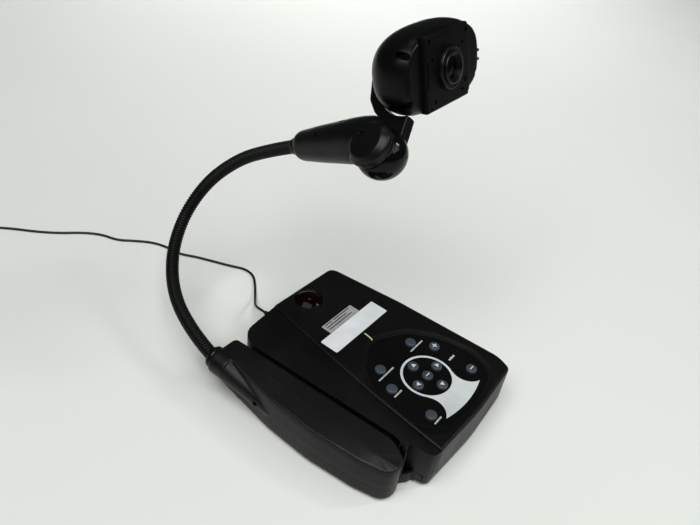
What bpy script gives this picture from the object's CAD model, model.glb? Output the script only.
import bpy, bmesh, math
import numpy as np
from mathutils import Vector, Matrix


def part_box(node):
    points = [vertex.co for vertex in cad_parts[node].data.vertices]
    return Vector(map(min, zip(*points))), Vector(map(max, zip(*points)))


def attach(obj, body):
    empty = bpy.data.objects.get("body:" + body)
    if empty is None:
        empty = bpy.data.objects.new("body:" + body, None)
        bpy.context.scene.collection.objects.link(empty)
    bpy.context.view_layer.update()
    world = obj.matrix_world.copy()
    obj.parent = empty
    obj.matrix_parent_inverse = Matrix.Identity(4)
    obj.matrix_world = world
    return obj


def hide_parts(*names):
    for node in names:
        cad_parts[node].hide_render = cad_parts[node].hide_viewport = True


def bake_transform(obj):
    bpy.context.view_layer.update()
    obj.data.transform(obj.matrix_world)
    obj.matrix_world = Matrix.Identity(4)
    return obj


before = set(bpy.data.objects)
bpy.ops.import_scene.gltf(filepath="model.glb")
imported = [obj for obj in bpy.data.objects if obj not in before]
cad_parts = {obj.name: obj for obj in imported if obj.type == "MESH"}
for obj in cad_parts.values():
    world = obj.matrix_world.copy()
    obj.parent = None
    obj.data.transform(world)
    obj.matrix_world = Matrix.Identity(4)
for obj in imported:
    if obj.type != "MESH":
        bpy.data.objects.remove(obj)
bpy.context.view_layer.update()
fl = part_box("feet")[0]
OX = -73.0 - fl[0] * 1000.0          # layout millimetres to row frame metres
OY = -34.0 - fl[1] * 1000.0
U = 0.975
TOP = 44.0
scene = bpy.context.scene
col = scene.collection


def P(x, y, z):
    return Vector(((x - OX) / 1000.0, (y - OY) / 1000.0, z / 1000.0))


def rowv(V):
    V = np.asarray(V, float)
    return (V - np.array([OX, OY, 0.0])) * 1e-3


# ------------------------------------------------------------------ camera
cd = bpy.data.cameras.new("Camera")
cd.sensor_width = 36.0
cd.lens = 33.66
cd.clip_start = 0.01
cd.clip_end = 60.0
cam = bpy.data.objects.new("Camera", cd)
col.objects.link(cam)
fwd = Vector((0.6635, 0.4247, -0.6160)).normalized()
right = Vector((0.6105, -0.7832, 0.1177))
right = (right - fwd * right.dot(fwd)).normalized()
up = right.cross(fwd)
M = Matrix((right, up, -fwd)).transposed().to_4x4()
M.translation = P(-387.45, -148.58, 475.48)
cam.matrix_world = M
scene.camera = cam


# ------------------------------------------------------------------ materials
def nt_new(name):
    m = bpy.data.materials.new(name)
    m.use_nodes = True
    nt = m.node_tree
    b = nt.nodes["Principled BSDF"]
    tc = nt.nodes.new("ShaderNodeTexCoord")
    return m, nt, b, tc


def noise(nt, tc, scale, detail=3.0, rough=0.5):
    n = nt.nodes.new("ShaderNodeTexNoise")
    n.inputs["Scale"].default_value = scale
    n.inputs["Detail"].default_value = detail
    n.inputs["Roughness"].default_value = rough
    nt.links.new(tc.outputs["Object"], n.inputs["Vector"])
    return n.outputs["Fac"]


def voro(nt, tc, scale, feature="SMOOTH_F1", rand=1.0):
    n = nt.nodes.new("ShaderNodeTexVoronoi")
    n.feature = feature
    n.inputs["Scale"].default_value = scale
    n.inputs["Randomness"].default_value = rand
    nt.links.new(tc.outputs["Object"], n.inputs["Vector"])
    return n.outputs["Distance"]


def ramp(nt, src, a, b, ca, cb):
    r = nt.nodes.new("ShaderNodeValToRGB")
    r.color_ramp.elements[0].position = a
    r.color_ramp.elements[1].position = b
    r.color_ramp.elements[0].color = (*ca, 1) if len(ca) == 3 else ca
    r.color_ramp.elements[1].color = (*cb, 1) if len(cb) == 3 else cb
    nt.links.new(src, r.inputs["Fac"])
    return r.outputs["Color"]


def maprange(nt, src, a, b, c, d):
    r = nt.nodes.new("ShaderNodeMapRange")
    for k, v in zip(("From Min", "From Max", "To Min", "To Max"), (a, b, c, d)):
        r.inputs[k].default_value = v
    nt.links.new(src, r.inputs["Value"])
    return r.outputs["Result"]


def mixc(nt, fac, a, b):
    m = nt.nodes.new("ShaderNodeMix")
    m.data_type = "RGBA"
    if isinstance(fac, float):
        m.inputs[0].default_value = fac
    else:
        nt.links.new(fac, m.inputs[0])
    for i, s in ((6, a), (7, b)):
        if isinstance(s, tuple):
            m.inputs[i].default_value = (*s, 1)
        else:
            nt.links.new(s, m.inputs[i])
    return m.outputs[2]


def math_(nt, op, a, b):
    n = nt.nodes.new("ShaderNodeMath")
    n.operation = op
    for i, s in enumerate((a, b)):
        if isinstance(s, (int, float)):
            n.inputs[i].default_value = s
        else:
            nt.links.new(s, n.inputs[i])
    return n.outputs[0]


def bump(nt, b, h, dist, strength=1.0, normal_in=None):
    n = nt.nodes.new("ShaderNodeBump")
    n.inputs["Strength"].default_value = strength
    n.inputs["Distance"].default_value = dist
    nt.links.new(h, n.inputs["Height"])
    if normal_in is not None:
        nt.links.new(normal_in, n.inputs["Normal"])
    nt.links.new(n.outputs["Normal"], b.inputs["Normal"])
    return n.outputs["Normal"]


def plastic(name, base, rough, grain=0.0, grain_scale=1500.0, rvar=0.08, light=1.5, wear=0.35, spec=0.5, coat=0.0, dust=0.0):
    """moulded plastic: colour and roughness drift, fine spark-eroded grain, rubbed edges, a little dust"""
    m, nt, b, tc = nt_new(name)
    big = noise(nt, tc, 22.0, 4.0, 0.55)
    fine = noise(nt, tc, 420.0, 3.0, 0.6)
    dark = tuple(c * 0.86 for c in base)
    lite = tuple(min(1, c * 1.18 + 0.0006) for c in base)
    c = ramp(nt, big, 0.3, 0.72, dark, lite)
    geo = nt.nodes.new("ShaderNodeNewGeometry")
    edge = maprange(nt, geo.outputs["Pointiness"], 0.515, 0.60, 0.0, wear)
    edge = math_(nt, "MULTIPLY", edge, maprange(nt, fine, 0.35, 0.65, 0.35, 1.0))
    c = mixc(nt, edge, c, tuple(min(1, x * light + 0.008) for x in base))
    if dust > 0:
        sp = noise(nt, tc, 900.0, 1.0, 0.5)
        dmask = maprange(nt, sp, 0.70, 0.76, 0.0, dust)
        c = mixc(nt, dmask, c, (0.30, 0.30, 0.29))
    nt.links.new(c, b.inputs["Base Color"])
    r = maprange(nt, big, 0.25, 0.75, rough - rvar, rough + rvar)
    r = math_(nt, "ADD", r, maprange(nt, fine, 0.3, 0.7, -0.03, 0.03))
    nt.links.new(r, b.inputs["Roughness"])
    b.inputs["Specular IOR Level"].default_value = spec
    if coat > 0:
        b.inputs["Coat Weight"].default_value = coat
        b.inputs["Coat Roughness"].default_value = 0.12
    if grain > 0:
        v = voro(nt, tc, grain_scale)
        f2 = noise(nt, tc, grain_scale * 1.7, 2.0, 0.6)
        h = math_(nt, "ADD", v, math_(nt, "MULTIPLY", f2, 0.6))
        bump(nt, b, h, grain)
    else:
        bump(nt, b, noise(nt, tc, 160.0, 3.0, 0.5), 0.00002, 0.6)
    return m


M_SHELL = plastic("shell_plastic", (0.0032, 0.0032, 0.0036), 0.40, grain=0.00014, grain_scale=1150.0, dust=0.02, wear=0.12, spec=0.28)
M_ARM = plastic("arm_plastic", (0.0036, 0.0036, 0.0038), 0.36, grain=0.00012, grain_scale=1150.0, dust=0.02, wear=0.22, spec=0.36)
M_SATIN = plastic("satin_plastic", (0.0034, 0.0034, 0.0037), 0.31, grain=0.00003, grain_scale=1900.0, rvar=0.05, wear=0.2, spec=0.33)
M_HEAD = plastic("head_plastic", (0.0028, 0.0028, 0.0032), 0.32, grain=0.00003, grain_scale=1700.0, rvar=0.05, wear=0.15, spec=0.19)
M_FACE = plastic("face_plastic", (0.0034, 0.0034, 0.0036), 0.42, grain=0.00006, grain_scale=1800.0, rvar=0.05, wear=0.15, spec=0.09)
M_GLOSS = plastic("gloss_plastic", (0.0025, 0.0025, 0.0028), 0.12, rvar=0.03, wear=0.1, coat=0.05, spec=0.22)
M_PANEL = plastic("panel_gloss", (0.0034, 0.0034, 0.0036), 0.26, rvar=0.04, wear=0.1, coat=0.08, spec=0.24)
M_NECK = plastic("neck_rubber", (0.0036, 0.0036, 0.0039), 0.38, grain=0.00003, grain_scale=2200.0, rvar=0.06, wear=0.35, light=1.6, spec=0.20)
M_CORD = plastic("cord_rubber", (0.0040, 0.0040, 0.0042), 0.42, grain=0.00002, grain_scale=2600.0, rvar=0.05, wear=0.0)
M_KEY = plastic("key_plastic", (0.052, 0.064, 0.082), 0.44, grain=0.00003, grain_scale=2200.0, rvar=0.05, light=1.3, wear=0.5)
M_RUBBER = plastic("foot_rubber", (0.016, 0.016, 0.016), 0.75, grain=0.00008, grain_scale=1600.0, wear=0.2)
M_WHITE = plastic("print_white", (0.57, 0.60, 0.61), 0.45, rvar=0.05, wear=0.0, light=1.0)
M_BOARD = plastic("board_green", (0.012, 0.07, 0.03), 0.4, grain=0.00005, grain_scale=700.0, wear=0.3)
M_SILIC = plastic("silicone_grey", (0.22, 0.23, 0.24), 0.6, grain=0.00003, wear=0.0)
M_SOCK = plastic("socket_black", (0.006, 0.006, 0.006), 0.5, grain=0.00005, wear=0.3, spec=0.35)


def metal(name, base, rough, brushed=0.00003):
    m, nt, b, tc = nt_new(name)
    mp = nt.nodes.new("ShaderNodeMapping")
    mp.inputs["Scale"].default_value = (60.0, 2400.0, 2400.0)
    nt.links.new(tc.outputs["Object"], mp.inputs["Vector"])
    n = nt.nodes.new("ShaderNodeTexNoise")
    n.inputs["Scale"].default_value = 1.0
    n.inputs["Detail"].default_value = 4.0
    nt.links.new(mp.outputs["Vector"], n.inputs["Vector"])
    big = noise(nt, tc, 60.0, 3.0)
    c = ramp(nt, big, 0.3, 0.7, tuple(x * 0.8 for x in base), base)
    nt.links.new(c, b.inputs["Base Color"])
    b.inputs["Metallic"].default_value = 1.0
    nt.links.new(maprange(nt, n.outputs["Fac"], 0.3, 0.7, rough - 0.08, rough + 0.1), b.inputs["Roughness"])
    bump(nt, b, n.outputs["Fac"], brushed, 0.6)
    return m


M_STEEL = metal("plated_steel", (0.55, 0.55, 0.56), 0.32)
M_SCREW = metal("black_screw", (0.10, 0.10, 0.105), 0.35)
M_NICKEL = metal("nickel_shell", (0.62, 0.61, 0.58), 0.25)
M_BRASS = metal("blade_brass", (0.75, 0.58, 0.30), 0.25)


def paper():
    m, nt, b, tc = nt_new("tape_white")
    big = noise(nt, tc, 45.0, 4.0, 0.6)
    fib = noise(nt, tc, 1500.0, 2.0, 0.7)
    c = ramp(nt, big, 0.3, 0.7, (0.66, 0.685, 0.71), (0.75, 0.775, 0.80))
    smear = maprange(nt, noise(nt, tc, 130.0, 5.0, 0.7), 0.60, 0.74, 0.0, 0.28)
    c = mixc(nt, smear, c, (0.42, 0.43, 0.44))
    nt.links.new(c, b.inputs["Base Color"])
    nt.links.new(maprange(nt, big, 0.3, 0.7, 0.32, 0.46), b.inputs["Roughness"])
    bump(nt, b, math_(nt, "ADD", fib, math_(nt, "MULTIPLY", big, 6.0)), 0.00004, 0.7)
    return m


def foil():
    m, nt, b, tc = nt_new("label_foil")
    n = noise(nt, tc, 900.0, 4.0, 0.75)
    big = noise(nt, tc, 70.0, 4.0, 0.6)
    c = ramp(nt, big, 0.3, 0.7, (0.40, 0.41, 0.40), (0.54, 0.545, 0.53))
    nt.links.new(c, b.inputs["Base Color"])
    b.inputs["Metallic"].default_value = 0.35
    nt.links.new(maprange(nt, n, 0.3, 0.7, 0.34, 0.52), b.inputs["Roughness"])
    bump(nt, b, n, 0.00003, 0.5)
    return m


M_PAPER = paper()
M_FOIL = foil()


def dome_mat():
    m, nt, b, tc = nt_new("dome_tint")
    big = noise(nt, tc, 90.0, 3.0)
    c = ramp(nt, big, 0.3, 0.7, (0.0030, 0.0008, 0.0007), (0.0060, 0.0014, 0.0012))
    nt.links.new(c, b.inputs["Base Color"])
    nt.links.new(maprange(nt, big, 0.3, 0.7, 0.03, 0.07), b.inputs["Roughness"])
    b.inputs["Specular IOR Level"].default_value = 0.10
    b.inputs["Coat Weight"].default_value = 0.0
    b.inputs["Coat Roughness"].default_value = 0.03
    bump(nt, b, big, 0.00004, 0.3)
    return m


def pipe_mat():
    m, nt, b, tc = nt_new("light_pipe")
    n = noise(nt, tc, 500.0, 3.0)
    c = ramp(nt, n, 0.3, 0.7, (0.42, 0.55, 0.26), (0.58, 0.68, 0.42))
    nt.links.new(c, b.inputs["Base Color"])
    nt.links.new(maprange(nt, n, 0.3, 0.7, 0.25, 0.4), b.inputs["Roughness"])
    bump(nt, b, n, 0.00003, 0.5)
    return m


def lens_mat():
    m, nt, b, tc = nt_new("lens_glass")
    n = noise(nt, tc, 120.0, 2.0)
    c = ramp(nt, n, 0.35, 0.65, (0.0015, 0.0018, 0.0035), (0.0025, 0.0025, 0.0060))
    nt.links.new(c, b.inputs["Base Color"])
    nt.links.new(maprange(nt, n, 0.3, 0.7, 0.03, 0.06), b.inputs["Roughness"])
    b.inputs["Specular IOR Level"].default_value = 0.09
    b.inputs["Coat Weight"].default_value = 0.05
    b.inputs["Coat Roughness"].default_value = 0.02
    b.inputs["Coat Tint"].default_value = (0.72, 0.80, 1.0, 1.0)
    return m


M_DOME = dome_mat()
M_PIPE = pipe_mat()
M_LENS = lens_mat()


# ------------------------------------------------------------------ mesh helpers
def finish_mesh(me, angle):
    for p in me.polygons:
        p.use_smooth = True
    if angle is not None:
        me.set_sharp_from_angle(angle=math.radians(angle))


def raw(name, V, F, mat=None, angle=35.0):
    """object from layout-mm vertices"""
    me = bpy.data.meshes.new(name)
    me.from_pydata([tuple(v) for v in rowv(V)], [], [tuple(int(i) for i in f) for f in F])
    me.validate()
    me.update()
    bm = bmesh.new(); bm.from_mesh(me)
    bmesh.ops.recalc_face_normals(bm, faces=bm.faces)
    bm.to_mesh(me); bm.free()
    finish_mesh(me, angle)
    if mat is not None:
        me.materials.append(mat)
    o = bpy.data.objects.new(name, me)
    col.objects.link(o)
    return o


def put(o, body, *nodes):
    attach(o, body)
    if nodes:
        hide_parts(*nodes)
    return o


def applied(o, name=None, mat=None, angle=35.0):
    """o's evaluated mesh becomes a plain new object; o is removed"""
    dg = bpy.context.evaluated_depsgraph_get()
    dg.update()
    me = bpy.data.meshes.new_from_object(o.evaluated_get(dg))
    nm = name or o.name
    bpy.data.objects.remove(o, do_unlink=True)
    n = bpy.data.objects.new(nm, me)
    n.name = nm
    me.name = nm
    if mat is not None:
        me.materials.clear(); me.materials.append(mat)
    finish_mesh(me, angle)
    col.objects.link(n)
    return n


def boolean(o, cutters, op="DIFFERENCE", mat=None, angle=35.0):
    nm = o.name
    for c in cutters:
        md = o.modifiers.new("b", "BOOLEAN")
        md.operation = op; md.object = c; md.solver = "EXACT"
    n = applied(o, nm, mat, angle)
    for c in cutters:
        bpy.data.objects.remove(c, do_unlink=True)
    return n


def remesh(o, voxel, smooth=4, factor=0.5, mat=None, angle=None):
    nm = o.name
    md = o.modifiers.new("r", "REMESH")
    md.mode = "VOXEL"; md.voxel_size = voxel / 1000.0; md.adaptivity = 0.0
    if smooth:
        s = o.modifiers.new("s", "SMOOTH"); s.factor = factor; s.iterations = smooth
    return applied(o, nm, mat, angle)


def bevelled(o, width, segs=3, ang=32.0, mat=None, angle=35.0):
    nm = o.name
    md = o.modifiers.new("v", "BEVEL")
    md.width = width / 1000.0; md.segments = segs; md.limit_method = "ANGLE"; md.angle_limit = math.radians(ang)
    md.use_clamp_overlap = True
    return applied(o, nm, mat, angle)


def cadcopy(node, name, dissolve=True):
    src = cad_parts[node]
    me = src.data.copy()
    o = bpy.data.objects.new(name, me)
    o.matrix_world = src.matrix_world.copy()
    col.objects.link(o)
    bm = bmesh.new(); bm.from_mesh(me)
    bm.transform(src.matrix_world)
    bmesh.ops.remove_doubles(bm, verts=bm.verts, dist=2e-6)
    if dissolve:
        bmesh.ops.dissolve_limit(bm, angle_limit=math.radians(0.4), verts=bm.verts, edges=bm.edges)
    bm.to_mesh(me); bm.free()
    o.matrix_world = Matrix.Identity(4)
    me.materials.clear()
    return o


def joined(name, objs):
    bm = bmesh.new()
    for o in objs:
        bm.from_mesh(o.data)
    me = bpy.data.meshes.new(name)
    bm.to_mesh(me); bm.free()
    for o in objs:
        bpy.data.objects.remove(o, do_unlink=True)
    n = bpy.data.objects.new(name, me)
    col.objects.link(n)
    return n


def frame_of(axis, hint=(0, 0, 1)):
    z = np.array(axis, float); z /= np.linalg.norm(z)
    h = np.array(hint, float)
    if abs(h @ z) > 0.95:
        h = np.array([1.0, 0, 0])
    x = np.cross(h, z); x /= np.linalg.norm(x)
    y = np.cross(z, x)
    return x, y, z


def lathe(name, prof, pos=(0, 0, 0), axis=(0, 0, 1), n=64, mat=None, angle=35.0, closed=True):
    """prof: (r, h) list; r = 0 points become poles"""
    x, y, z = frame_of(axis)
    pos = np.array(pos, float)
    V, F = [], []
    rings = []
    for r, h in prof:
        if r < 1e-6:
            rings.append([len(V)]); V.append(pos + z * h)
        else:
            k = len(V)
            for i in range(n):
                a = 2 * math.pi * i / n
                V.append(pos + z * h + x * (r * math.cos(a)) + y * (r * math.sin(a)))
            rings.append(list(range(k, k + n)))
    m = len(rings)
    last = m if (closed and len(rings[0]) > 1 and len(rings[-1]) > 1) else m - 1
    for j in range(last):
        A, B = rings[j], rings[(j + 1) % m]
        for i in range(n):
            i2 = (i + 1) % n
            if len(A) == 1 and len(B) == 1:
                break
            if len(A) == 1:
                F.append((A[0], B[i], B[i2]))
            elif len(B) == 1:
                F.append((A[i], B[0], A[i2]))
            else:
                F.append((A[i], B[i], B[i2], A[i2]))
    return raw(name, V, F, mat, angle)


def circ3(p0, p1, p2, n):
    """n+1 points on the arc p0-p1-p2"""
    p0, p1, p2 = [np.array(p, float) for p in (p0, p1, p2)]
    a, b = p1 - p0, p2 - p0
    nn = np.cross(a, b)
    c = p0 + (np.cross(nn, a) * (b @ b) + np.cross(b, nn) * (a @ a)) / (2 * (nn @ nn))
    e1 = p0 - c; R = np.linalg.norm(e1); e1 = e1 / R
    nz = nn / np.linalg.norm(nn)
    e2 = np.cross(nz, e1)
    def ang(p):
        d = p - c
        t = math.atan2(d @ e2, d @ e1)
        return t if t >= -1e-9 else t + 2 * math.pi
    t2 = ang(p2)
    return [c + R * (math.cos(t) * e1 + math.sin(t) * e2) for t in np.linspace(0, t2, n + 1)]


def sweep(name, path, rad, seg=28, mat=None, angle=None, caps=True, hint=(0, 0, 1), a0=0.0):
    """tube along path; rad(i, theta_index) or number"""
    path = [np.array(p, float) for p in path]
    n = len(path)
    T = []
    for i in range(n):
        d = path[min(i + 1, n - 1)] - path[max(i - 1, 0)]
        T.append(d / np.linalg.norm(d))
    x, y, z = frame_of(T[0], hint)
    V, F = [], []
    X = x
    for i in range(n):
        t = T[i]
        X = X - t * (X @ t); X /= np.linalg.norm(X)
        Y = np.cross(t, X)
        for k in range(seg):
            a = a0 + 2 * math.pi * k / seg
            r = rad(i, k) if callable(rad) else rad
            V.append(path[i] + X * (r * math.cos(a)) + Y * (r * math.sin(a)))
    for i in range(n - 1):
        for k in range(seg):
            k2 = (k + 1) % seg
            F.append((i * seg + k, i * seg + k2, (i + 1) * seg + k2, (i + 1) * seg + k))
    if caps:
        F.append(tuple(range(seg - 1, -1, -1)))
        F.append(tuple((n - 1) * seg + k for k in range(seg)))
    return raw(name, V, F, mat, angle)


def rounded(pts, step=2.0):
    """sample a polygon with rounded corners (layout units -> mm) as a closed loop of points"""
    pts = [(x * U, y * U, r * U) for x, y, r in pts]
    n = len(pts)
    ent = []
    for i in range(n):
        a, b, c = pts[i - 1], pts[i], pts[(i + 1) % n]
        A, B, C = [np.array(q[:2]) for q in (a, b, c)]
        u, v = A - B, C - B
        lu, lv = np.linalg.norm(u), np.linalg.norm(v)
        u, v = u / lu, v / lv
        ang = math.acos(max(-1, min(1, u @ v)))
        r = b[2]
        if r < 0.05 or ang > math.radians(179.5):
            ent.append([B]); continue
        t = min(r / math.tan(ang / 2), lu * 0.48, lv * 0.48)
        r = t * math.tan(ang / 2)
        bis = (u + v) / np.linalg.norm(u + v)
        cen = B + bis * (r / math.sin(ang / 2))
        p1, p2 = B + u * t, B + v * t
        a1 = math.atan2(*(p1 - cen)[::-1]); a2 = math.atan2(*(p2 - cen)[::-1])
        d = (a2 - a1 + math.pi) % (2 * math.pi) - math.pi
        k = max(2, int(abs(d) * r / step), int(abs(d) / math.radians(12)))
        ent.append([cen + r * np.array([math.cos(a1 + d * j / k), math.sin(a1 + d * j / k)]) for j in range(k + 1)])
    loop = []
    for i in range(n):
        seg = ent[i]
        loop += seg
        q = ent[(i + 1) % n][0]
        L = np.linalg.norm(q - seg[-1])
        k = int(L / step)
        for j in range(1, k):
            loop.append(seg[-1] + (q - seg[-1]) * j / k)
    out = [loop[0]]
    for p in loop[1:]:
        if np.linalg.norm(p - out[-1]) > 1e-4:
            out.append(p)
    if np.linalg.norm(out[0] - out[-1]) < 1e-4:
        out.pop()
    return np.array(out)


def area2(L):
    return 0.5 * np.sum(L[:, 0] * np.roll(L[:, 1], -1) - np.roll(L[:, 0], -1) * L[:, 1])


def ccw(L):
    return L if area2(L) > 0 else L[::-1].copy()


def normals2(L):
    t = np.roll(L, -1, 0) - np.roll(L, 1, 0)
    t /= np.linalg.norm(t, axis=1)[:, None] + 1e-12
    return np.stack([t[:, 1], -t[:, 0]], 1)      # outward for ccw loops


def ray_loop(L, c, angles):
    """where rays from c at the angles cross the closed loop L (star-shaped about c)"""
    out = []
    A = L - c
    B = np.roll(A, -1, 0)
    for a in angles:
        d = np.array([math.cos(a), math.sin(a)])
        cr = A[:, 0] * d[1] - A[:, 1] * d[0]
        cr2 = B[:, 0] * d[1] - B[:, 1] * d[0]
        s = cr / (cr - cr2 + 1e-15)
        ok = (cr * cr2 <= 0) & (s >= 0) & (s <= 1)
        pts = A + (B - A) * s[:, None]
        rr = pts @ d
        rr[~ok] = -1
        out.append(c + d * rr.max())
    return np.array(out)


def ring_mesh(name, rings, mat=None, closed=True, cap_last=False, angle=35.0):
    """rings: list of (N,3) arrays joined one after the other"""
    N = len(rings[0])
    V = np.concatenate(rings)
    F = []
    m = len(rings)
    for j in range(m if closed else m - 1):
        a, b = j * N, ((j + 1) % m) * N
        for i in range(N):
            i2 = (i + 1) % N
            F.append((a + i, a + i2, b + i2, b + i))
    if cap_last:
        V = np.concatenate([V, rings[-1].mean(0)[None]])
        c = len(V) - 1; a = (m - 1) * N
        for i in range(N):
            F.append((a + i, a + (i + 1) % N, c))
    return raw(name, V, F, mat, angle)


def at_z(L, z):
    z = np.full(len(L), z) if np.isscalar(z) else z
    return np.column_stack([L, z])


def boxo(name, c, d, rot=None, mat=None, bev=0.0, segs=2):
    """box centred at c (layout mm), sizes d, optional 3x3 rot columns"""
    c = np.array(c, float)
    R = np.eye(3) if rot is None else np.array(rot, float)
    V = []
    for sx in (-1, 1):
        for sy in (-1, 1):
            for sz in (-1, 1):
                V.append(c + R @ (np.array([sx, sy, sz]) * np.array(d) / 2.0))
    F = [(0, 1, 3, 2), (4, 6, 7, 5), (0, 4, 5, 1), (2, 3, 7, 6), (0, 2, 6, 4), (1, 5, 7, 3)]
    o = raw(name, V, F, mat, 35.0)
    if bev > 0:
        o = bevelled(o, bev, segs, 30.0, mat)
    return o


def flatpoly(name, pts2, z, th, mat, body=None, bev=0.0):
    """thin raised print: ccw polygon points in layout mm"""
    L = ccw(np.array(pts2, float))
    n = len(L)
    V = np.concatenate([at_z(L, z), at_z(L, z + th)])
    F = [tuple(range(n - 1, -1, -1)), tuple(range(n, 2 * n))]
    for i in range(n):
        j = (i + 1) % n
        F.append((i, j, n + j, n + i))
    return raw(name, V, F, mat, 30.0)


# ------------------------------------------------------------------ the cord, first
dcx = -25.5
ROUTE = [(dcx, 174.8, 22.0), (-25.0, 182.5, 21.2), (-21.5, 190.5, 17.0), (-14.0, 199.0, 10.6), (-5.0, 207.5, 5.0), (5.0, 217.0, 2.0),
         (15.0, 227.0, 1.4), (25.5, 239.5, 1.4), (27.0, 254.0, 1.4), (18.5, 270.0, 1.4), (10.0, 290.0, 1.4), (2.0, 308.5, 1.4),
         (-7.5, 324.0, 1.4), (-9.0, 343.0, 1.4), (-15.0, 361.0, 1.4), (-28.0, 377.5, 1.4), (-41.5, 392.0, 1.4), (-46.5, 411.0, 1.4),
         (-60.0, 429.0, 1.4), (-80.0, 446.0, 1.4), (-97.0, 466.0, 1.4), (-112.0, 488.0, 1.4), (-129.0, 507.0, 1.4),
         (-139.5, 522.0, 1.45), (-143.6, 536.0, 1.45)]
CX, CY = -162.0, 556.0
cols_r = [18.1, 15.5, 12.9]
order = [(0, 0), (1, 0), (2, 0), (2, 1), (1, 1), (0, 1), (0, 2), (1, 2), (2, 2), (2, 3), (1, 3)]
KT = 16
pts = list(ROUTE)
total_steps = int(round(KT * 10.93))
start_step = 0
a_start = -40.0
for s in range(total_steps + 1):
    turn = s / KT
    k = min(int(turn), len(order) - 1)
    f = turn - k
    c0, r0 = order[k]
    c1, r1 = order[min(k + 1, len(order) - 1)]
    w = 0.0 if f < 0.72 else (f - 0.72) / 0.28
    w = w * w * (3 - 2 * w)
    rr = cols_r[c0] * (1 - w) + cols_r[c1] * w
    zz = (1.45 + 2.62 * r0) * (1 - w) + (1.45 + 2.62 * r1) * w
    a = math.radians(a_start + 360.0 * turn)
    rr = rr / 0.9809
    pts.append((CX + rr * math.cos(a), CY + rr * math.sin(a), zz))
pts += [(-146.6, 563.0, 9.35), (-146.9, 569.5, 9.1), (-147.0, 576.0, 8.7), (-147.0, 582.0, 8.6)]
cu = bpy.data.curves.new("power_cord", "CURVE")
cu.dimensions = "3D"
cu.resolution_u = 8
cu.bevel_depth = 0.0013
cu.bevel_resolution = 5
cu.use_fill_caps = True
sp = cu.splines.new("NURBS")
sp.points.add(len(pts) - 1)
for i, q in enumerate(pts):
    sp.points[i].co = (*P(*q), 1.0)
sp.order_u = 3
sp.use_endpoint_u = True
cu.materials.append(M_CORD)
cord = bpy.data.objects.new("power_cord", cu)
col.objects.link(cord)
# its real drawn length
mt = bpy.data.curves.new("tmp", "CURVE"); mt.dimensions = "3D"; mt.resolution_u = 8
s2 = mt.splines.new("NURBS"); s2.points.add(len(pts) - 1)
for i, q in enumerate(pts):
    s2.points[i].co = (*P(*q), 1.0)
s2.order_u = 3; s2.use_endpoint_u = True
to = bpy.data.objects.new("tmp", mt); col.objects.link(to)
dg = bpy.context.evaluated_depsgraph_get(); dg.update()
tm = bpy.data.meshes.new_from_object(to.evaluated_get(dg))
bpy.data.objects.remove(to, do_unlink=True)
put(cord, "base", "cord_tube", "cord_coil")

# tie: a twisted wire tie with a paper-thin band, round the section at angle 0
sec = []
for j in range(40):
    a = 2 * math.pi * j / 40
    ca, sa = math.cos(a), math.sin(a)
    ex = 5.15 * math.copysign(abs(ca) ** 0.45, ca)
    ez = 5.75 * math.copysign(abs(sa) ** 0.45, sa)
    sec.append((ex, ez))
V, F = [], []
cxs, czs = CX + 15.55, 6.0
for (yy, infl) in [(-2.4, 0.0), (-2.2, 0.35), (2.2, 0.35), (2.4, 0.0)]:
    for ex, ez in sec:
        V.append((cxs + ex * (1 + infl * 0.06), CY + yy, max(0.05, czs + ez * (1 + infl * 0.05))))
for (yy, infl) in [(2.4, 0.0), (2.2, 0.0), (-2.2, 0.0), (-2.4, 0.0)]:
    for ex, ez in sec:
        V.append((cxs + ex * 0.93, CY + yy * 0.98, max(0.35, czs + ez * 0.93)))
n = 40
for j in range(8):
    a, b = j * n, ((j + 1) % 8) * n
    for i in range(n):
        i2 = (i + 1) % n
        F.append((a + i, a + i2, b + i2, b + i))
tie = raw("cord_tie", V, F, M_SOCK, 40.0)
put(tie, "base", "coil_tie")
tw = []
for j in range(60):
    t = j / 59.0
    a = t * 5.5 * math.pi
    tw.append((cxs + 5.4 + 0.0 * t, CY + 0.75 * math.cos(a) + 0.6, 11.6 - 7.6 * t + 0.0))
tw = [(cxs - 3.0 + 6.5 * (j / 59.0), CY + 0.5 * math.cos(j * 0.32), 11.75 + 0.28 * math.sin(j * 0.32)) for j in range(60)]
twist = sweep("tie_twist", tw, 0.42, 10, M_SOCK)
put(twist, "base")

# ------------------------------------------------------------------ base outlines (layout units)
TOPC = [(58.0, 161.5, 9), (66.6, 76, 150), (71.0, -38, 60), (64.5, -53.0, 7), (0, -56.5, 220), (-61.4, -53.6, 1.5),
        (-60.0, -36.0, 25), (-54.0, 20.6, 90), (-44.2, 85.8, 90), (-31.0, 164.0, 1.2)]
ARM = [(-87.4, 158.5, 5), (-108.5, 158.5, 5), (-118.2, 88, 120), (-119.5, 40, 150), (-114.5, -6, 60), (-107.5, -34.5, 15),
       (-88.6, -37.5, 16), (-78.3, -19.3, 30.5), (-79.9, 8, 60)]
EGG = [(0, 65, 20), (-34, 46, 30), (-50, 20, 60), (-57, -14, 30), (-47, -42, 26), (0, -50.5, 120), (47, -42, 26),
       (57, -14, 30), (50, 20, 60), (34, 46, 30)]
BTN = {"button_up": (0, 16), "button_down": (0, -16), "button_left": (-16, 0), "button_right": (16, 0), "button_centre": (0, 0),
       "button_plus": (36.3, 15.4), "button_minus": (36.6, -26.0), "button_effect": (-36.3, 15.0),
       "button_freeze": (-36.4, -27.0), "button_text": (-24.8, 36.0), "button_colour": (24.3, 35.4)}
DOME = (1.0 * U, 145.0 * U)


def inset(L, d):
    """move a ccw loop inwards by d (smooth loops only)"""
    return L - normals2(L) * d


# top cover: polar rings about a point inside the egg, closed solid with a wall
NA = 420
c0 = np.array([2.0, 12.0])
top_loop = ccw(rounded(TOPC, 1.2))
ang = np.linspace(0, 2 * math.pi, NA, endpoint=False)
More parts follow.
